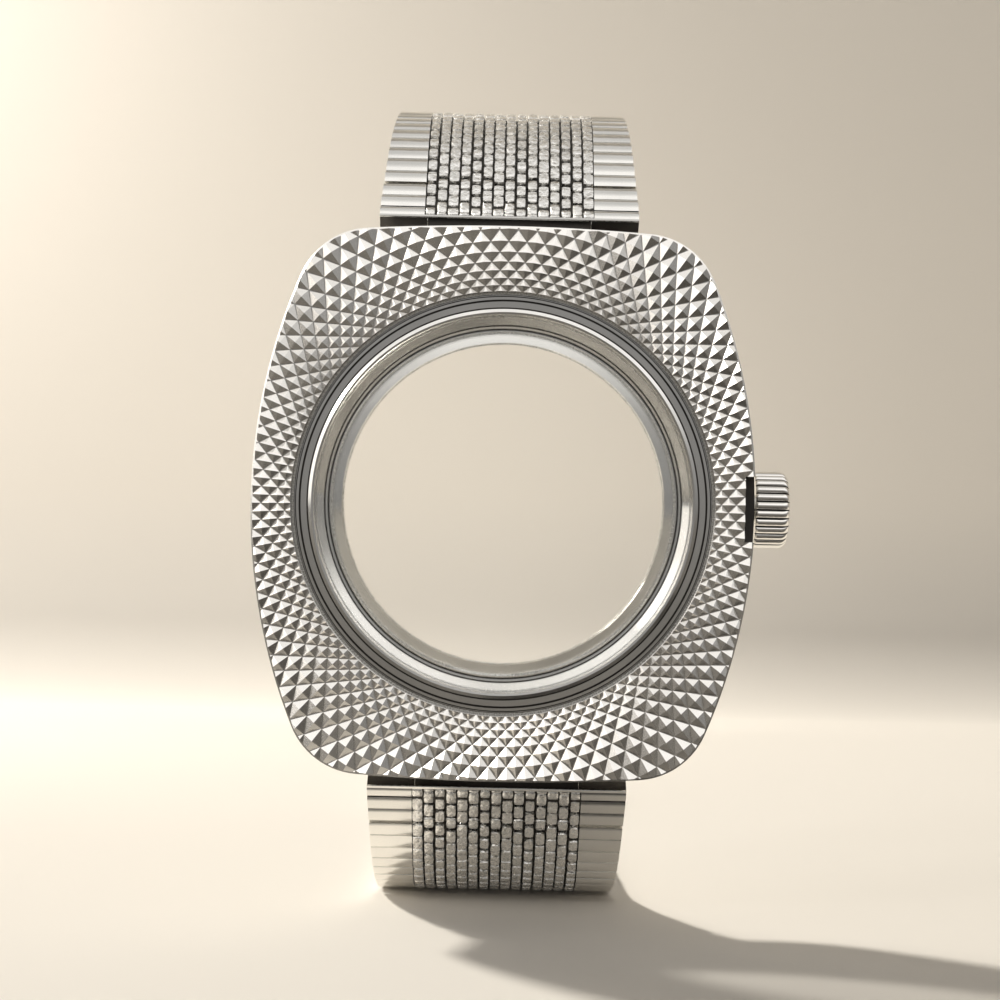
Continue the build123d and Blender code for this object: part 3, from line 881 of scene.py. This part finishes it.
def strap_rows(way, count):
    """Middle line of one half as row ends (depth, height) with each row's lean, leaving the case upward."""
    lean = radians(way["start"])
    depth = bar_y + first_row * sin(lean)
    height = bar_z + first_row * cos(lean)
    line = []
    for row in range(count):
        lean = radians(min(way["start"] + way["turn"] * max(0, row - way["straight_rows"]), way["final"]))
        line.append((depth, height, lean))
        depth += row_pitch * sin(lean)
        height += row_pitch * cos(lean)
    line.append((depth, height, lean))
    return line


def mean_lean(line, k):
    """Lean at a row's end, half way between the rows on its two sides."""
    return (line[max(k - 1, 0)][2] + line[k][2]) / 2


def off_line(station, lean, along, out):
    """A point beside a row's end: along the row and out from the middle line."""
    depth, height, _ = station
    return (depth + along * sin(lean) - out * cos(lean), height + along * cos(lean) + out * sin(lean))


def width_at(row, rows):
    """Strap width at a row's end, narrowing evenly to the clasp."""
    return strap_width + (strap_end_width - strap_width) * row / rows


def column_x(column):
    """Middle of a bead column across the strap."""
    return (column + 1 / 2) * bead_field / bead_columns - bead_field / 2


def bead_on_row(line, k, column, kind, start, end, height, side):
    """A bead's place, turn and size as shares, from a start to an end along a row.

    side is 1 for the upper half and -1 for the lower, which is turned over."""
    lean = line[k][2]
    depth, upward = off_line(line[k], lean, (start + end) / 2, bead_top - height / 2)
    size = (bead_shares[kind][0], height / bead_top, (end - start) / row_pitch)
    return ((column_x(column), depth, side * upward), (-side * lean, 0, 0), size)


def column_kind(column, side):
    """Boxed, narrow or scalloped, in the order that the columns stand."""
    first = 0 if side > 0 else 2
    return COLUMN_ORDER[(column + first) % len(COLUMN_ORDER)]


def bead_reach(kind, k, first, last):
    """Start, end and height of a bead, kept clear of the next link at the joints."""
    _, height_share, start_share, end_share = bead_shares[kind]
    height = height_share * bead_top
    start = start_share * row_pitch
    end = end_share * row_pitch
    if kind == "narrow" and k == last - 1:
        return start, joint_bead_end, joint_bead_height
    if kind != "narrow" and k == first:
        start = max(start, joint_bead_gap)
    if kind != "narrow" and k == last - 1:
        end = min(end, row_pitch - joint_bead_gap)
    return start, end, height


def bead_points(line, first, last, side):
    """Beads of one link, row by row; none stands over the end of the last row."""
    points = []
    for k in range(first, last):
        for column in range(bead_columns):
            kind = column_kind(column, side)
            if kind == "narrow" and k == len(line) - 2:
                continue
            points.append(bead_on_row(line, k, column, kind, *bead_reach(kind, k, first, last), side))
    return points


def first_bead_points(line, side):
    """Short beads on the end bar, before the first row."""
    points = []
    for column in range(bead_columns):
        kind = column_kind(column, side)
        for start_share, end_share in first_bead_shares[kind]:
            start = start_share * row_pitch - first_row
            end = end_share * row_pitch - first_row
            points.append(bead_on_row(line, 0, column, kind, start, end, first_bead_height, side))
    return points


def bead_mesh(name, points, metals):
    """Beads set on their points."""
    return set_on_points(name, metals["bead tree"], points, metals["bead"], BEAD_INPUTS, CREASE["bead"])


def pillow_rise(share):
    """Share of a pillow's height at a share of its length."""
    return sin(pi * share) ** pillow_power if 0 < share < 1 else 0.0


def rows_view(line, first, last, groove, edge, crest, sign):
    """One side of the rows' side view, with each point's row place.

    Each row is a pillow between sharp grooves; a row with no crest is flat."""
    relief_slope = tan(radians(joint_relief))
    shift = joint_gap / 2 + groove * relief_slope
    steps = row_steps if crest > edge else 2
    points = []
    for k in range(first, last + 1):
        inset = shift if k == first else (-shift if k == last else 0.0)
        points.append((off_line(line[k], mean_lean(line, k), inset, sign * groove), k + inset / row_pitch))
        if k == last:
            break
        start = shift if k == first else slat_gap
        end = row_pitch - (shift if k == last - 1 else slat_gap)
        for step in range(steps):
            share = step / (steps - 1)
            along = start + (end - start) * share
            out = edge + (crest - edge) * pillow_rise(share)
            points.append((off_line(line[k], line[k][2], along, sign * out), k + along / row_pitch))
    return points


def lane_mesh(name, line, first, last, side, outer, inner_x, outer_x):
    """A lane of rows between two sides, given as functions of the place along the rows."""
    inside = rows_view(line, first, last, inner_groove, inner_groove + inner_edge_drop, strap_inner, -1)
    view = rows_view(line, first, last, *outer, 1) + inside[::-1]
    loops = []
    for edge in (inner_x, outer_x):
        loops.append([(edge(place), depth, side * height) for (depth, height), place in view])
    mesh = loops_mesh(name, loops, closed=False)
    shade(mesh, CREASE["lane"])
    return mesh


def make_lanes(name, line, first, last, rows, side, metals):
    """The two slat lanes and the bed under the beads."""
    slats = []
    for hand in (-1, 1):
        slats.append(lane_mesh(
            name + "_slats", line, first, last, side, (row_groove, row_edge, row_crown),
            lambda place: hand * bead_field / 2, lambda place: hand * width_at(place, rows) / 2))
    bed = lane_mesh(
        name + "_bed", line, first, last, side, (bead_bed, bead_bed, bead_bed),
        lambda place: -bead_field / 2, lambda place: bead_field / 2)
    for mesh in (*slats, bed):
        mesh.materials.append(metals["slat"])
    bed.materials.append(metals["groove"])
    # Painted shade on these faces: the outer ones under the beads, the far end, and the near end, which the
    # two caps follow
    outer_faces = (last - first) * points_per_bed_row
    for k in (*range(outer_faces + 1), len(bed.polygons) - 3):
        bed.polygons[k].material_index = 1
    return joined(name + "_slats", slats), bed


def make_link(name, body, nodes, line, first, last, rows, side, metals):
    """One link: slats, bed and beads."""
    slats, bed = make_lanes(name, line, first, last, rows, side, metals)
    beads = bead_mesh(name + "_beads", bead_points(line, first, last, side), metals)
    piece(name + "_slats", slats, metals["slat"], body, nodes)
    piece(name + "_bed", bed, metals["groove"], body)
    piece(name + "_beads", beads, metals["bead"], body)


def bar_prism(name, corners, lean, side, start_x, end_x, material):
    """A prism across the strap from corners (along, out) round the spring bar's axis."""
    view = [off_line((bar_y, bar_z, lean), lean, along, out) for along, out in corners]
    loops = [[(x, depth, side * height) for depth, height in view] for x in (start_x, end_x)]
    mesh = loops_mesh(name, loops, closed=False)
    shade(mesh, CREASE["bar"])
    mesh.materials.append(material)
    return mesh


def first_slat_view():
    """Side view of the pillow on the end bar, as corners (along, out)."""
    end = end_lip_back + slat_gap
    corners = [(first_row - slat_gap, end_skin_out), (end, end_skin_out)]
    for step in range(row_steps):
        share = step / (row_steps - 1)
        along = end + (first_row - slat_gap - end) * share
        corners.append((along, end_pillow_edge + (row_crown - end_pillow_edge) * pillow_rise(share)))
    return corners


def make_end_link(name, line, rows, side, metals):
    """End link: two rows, the end bar with its lip and first beads, and knuckles at both sides."""
    lean = line[0][2]
    half = strap_width / 2
    under = end_bar_start + end_lip_undercut
    knuckle = eased([
        (first_row, end_skin_out), (under, end_skin_out), (under, -knuckle_nose),
        (-knuckle_nose, end_bar_inner), (first_row, end_bar_inner)], knuckle_ease)
    lip = eased([
        (end_lip_back, end_lip_out), (end_bar_start, end_lip_out), (end_bar_start, end_skin_out),
        (end_lip_back, end_skin_out)], lip_ease)
    bed = [(lug_room_end, end_bed_out), (end_lip_back, end_bed_out), (end_lip_back, end_skin_out),
           (lug_room_end, end_skin_out)]
    steel = metals["slat"]
    # The knuckles and the bed under the first beads are painted shade, near black where the slot shades them
    shaded = metals["groove"]
    bright = [bar_prism(name + "_lip", lip, lean, side, -half, half, steel)]
    dark = [bar_prism(name + "_bed", bed, lean, side, -bead_field / 2, bead_field / 2, shaded)]
    for hand in (-1, 1):
        bright.append(bar_prism(name + "_first_slat", first_slat_view(), lean, side, hand * bead_field / 2,
                                hand * half, steel))
        dark.append(bar_prism(name + "_knuckle", knuckle, lean, side, hand * lug_room_half,
                              hand * half, shaded))
    piece(name + "_bar", joined(name + "_bar", bright), steel, name, [name + "_link"])
    piece(name + "_core", joined(name + "_core", dark), shaded, name)
    beads = bead_mesh(name + "_first_beads", first_bead_points(line, side), metals)
    piece(name + "_first_beads", beads, metals["bead"], name)
    make_link(name, name, [], line, 0, rows_in_end_link, rows, side, metals)


def make_half(name, way, side, metals):
    """All links of one half."""
    rows = rows_in_end_link + way["links"] * rows_per_link
    line = strap_rows(way, rows)
    make_end_link(name + "_end", line, rows, side, metals)
    for k in range(way["links"]):
        first = rows_in_end_link + k * rows_per_link
        make_link(f"{name}_{k + 1}", f"{name}_group_{k + 1}", [f"{name}_link_{k + 1}"], line, first,
                  first + rows_per_link, rows, side, metals)


# Surroundings, light and camera

def make_floor():
    """Pale floor that sweeps up into a wall."""
    line = [(floor_start_y, floor_level), (wall_foot_y, floor_level)]
    for k in range(1, wall_bend_steps + 1):
        turn = pi / 2 * k / wall_bend_steps
        line.append((wall_foot_y + wall_bend_r * sin(turn), floor_level + wall_bend_r * (1 - cos(turn))))
    line.append((wall_foot_y + wall_bend_r, floor_level + wall_height))
    points = [(x, y, z) for y, z in line for x in (-floor_half, floor_half)]
    faces = [(2 * k, 2 * k + 1, 2 * k + 3, 2 * k + 2) for k in range(len(line) - 1)]
    mesh = mesh_of("floor", points, faces)
    if mesh.polygons[0].normal.z < 0:
        mesh.flip_normals()
    mesh.shade_smooth()
    mesh.materials.append(floor_paper())
    obj = placed("floor", mesh)
    # The wall lets the sun behind it through
    obj.visible_shadow = False


def lamp(name):
    """A lamp at its place, aimed at its target and hidden from the camera."""
    kind, place, target, width = lamp_shares[name]
    data = bpy.data.lights.new(name, kind)
    data.energy, data.color = lamp_light[name]
    if kind == "SUN":
        data.angle = radians(sun_angle)
    else:
        data.shape = "SQUARE"
        data.size = width * studio * MM
    obj = placed(name, data)
    obj.location = Vector(place) * studio * MM
    aim = Vector(target) - Vector(place)
    obj.rotation_euler = aim.to_track_quat("-Z", "Y").to_euler()
    obj.visible_camera = False


def make_sky():
    """Even sky for the floor; metal mirrors it darker at the horizon and brightest above it."""
    world = bpy.data.worlds.new("sky")
    world.use_nodes = True
    tree = world.node_tree
    sky = tree.nodes["Background"]
    sky.inputs["Color"].default_value = sky_colour
    way = node(tree, "ShaderNodeTexCoord")
    parts = node(tree, "ShaderNodeSeparateXYZ", way.outputs["Generated"])
    ramp = node(tree, "ShaderNodeValToRGB", parts.outputs["Z"])
    levels = ramp.color_ramp
    levels.elements[0].position = sky_levels[0][0]
    levels.elements[1].position = sky_levels[-1][0]
    for height, _ in sky_levels[1:-1]:
        levels.elements.new(height)
    for element, (_, level) in zip(levels.elements, sky_levels):
        element.color = (level, level, level, 1)
    path = node(tree, "ShaderNodeLightPath")
    strength = mixed(tree, "FLOAT", path.outputs["Is Glossy Ray"], sky_on_floor, ramp.outputs["Color"])
    seen = mixed(tree, "FLOAT", path.outputs["Is Camera Ray"], strength, sky_seen)
    tree.links.new(seen, sky.inputs["Strength"])
    bpy.context.scene.world = world


def make_light():
    """Warm sun from behind on the left, a box and a glint on the left, two lamps on the wall, and a sky."""
    for name in lamp_shares:
        lamp(name)
    make_sky()


def make_camera():
    """Level camera on the case's axis, rolled a little as in the photograph."""
    data = bpy.data.cameras.new("camera")
    data.sensor_width = camera_sensor
    data.lens = camera_lens
    data.shift_x, data.shift_y = camera_shift
    data.clip_start = camera_near * MM
    data.clip_end = camera_far * MM
    obj = placed("camera", data)
    obj.location = Vector((0, camera_y, 0)) * MM
    obj.rotation_euler = (pi / 2, radians(camera_roll), 0)
    bpy.context.scene.camera = obj


def make_bevelled(metals):
    """The pieces that keep their CAD shape but for a bevel; the lugs' far faces get painted shade."""
    for name, (body, slot, metal, width) in BEVELLED.items():
        mesh = bevelled_copy(name, width)
        mesh.materials.clear()
        mesh.materials.append(metals[metal])
        # Painted shade: the lug faces beyond the outline, hidden between the links, are near black
        if name == "case_middle":
            mesh.materials.append(metals["groove"])
            for face in mesh.polygons:
                if abs(face.center.z) / MM > case_height / 2 - 2 * same_level:
                    face.material_index = 1
        piece(name + "_eased", mesh, metals[metal], body, [name])


def dress_nodes(metals):
    """Give each CAD node that still shows its finish."""
    for name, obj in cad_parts.items():
        if obj.hide_render:
            continue
        obj.data.materials.clear()
        obj.data.materials.append(metals["rubber" if "gasket" in name else "slat"])


def make_metals():
    """All finishes, the painted shade kept under groove, and the tree that sets the beads, by short names."""
    return {
        "engraved": engraved_steel(),
        "ring": turned_steel("turned_ring"),
        "bright": turned_steel("bright_ring"),
        "case": satin_steel("case_satin"),
        "crown": satin_steel("crown_polish"),
        "slat": satin_steel("slat_polish"),
        # Painted shade: near-black steel where shade falls in recesses and slots
        "groove": satin_steel("painted_shade_steel"),
        "bead": frosted_steel(),
        "glass": clear_glass(),
        "rubber": gasket_rubber(),
        "bead tree": points_tree("beads on points", BEAD_INPUTS, bead_shape),
    }


def main():
    make_camera()
    make_floor()
    make_light()
    metals = make_metals()
    bezel = make_bezel(metals["engraved"], metals["groove"])
    piece("bezel_engraved", bezel, metals["engraved"], "case", ["bezel_plate"])
    make_rings(metals["ring"], metals["bright"], metals["groove"])
    make_glasses(metals["glass"])
    make_back(metals["ring"], metals["rubber"])
    make_crown(metals["crown"], metals["groove"])
    make_half("upper", UPPER, 1, metals)
    make_half("lower", LOWER, -1, metals)
    make_bevelled(metals)
    dress_nodes(metals)
    bpy.context.scene.view_settings.view_transform = "Standard"


main()
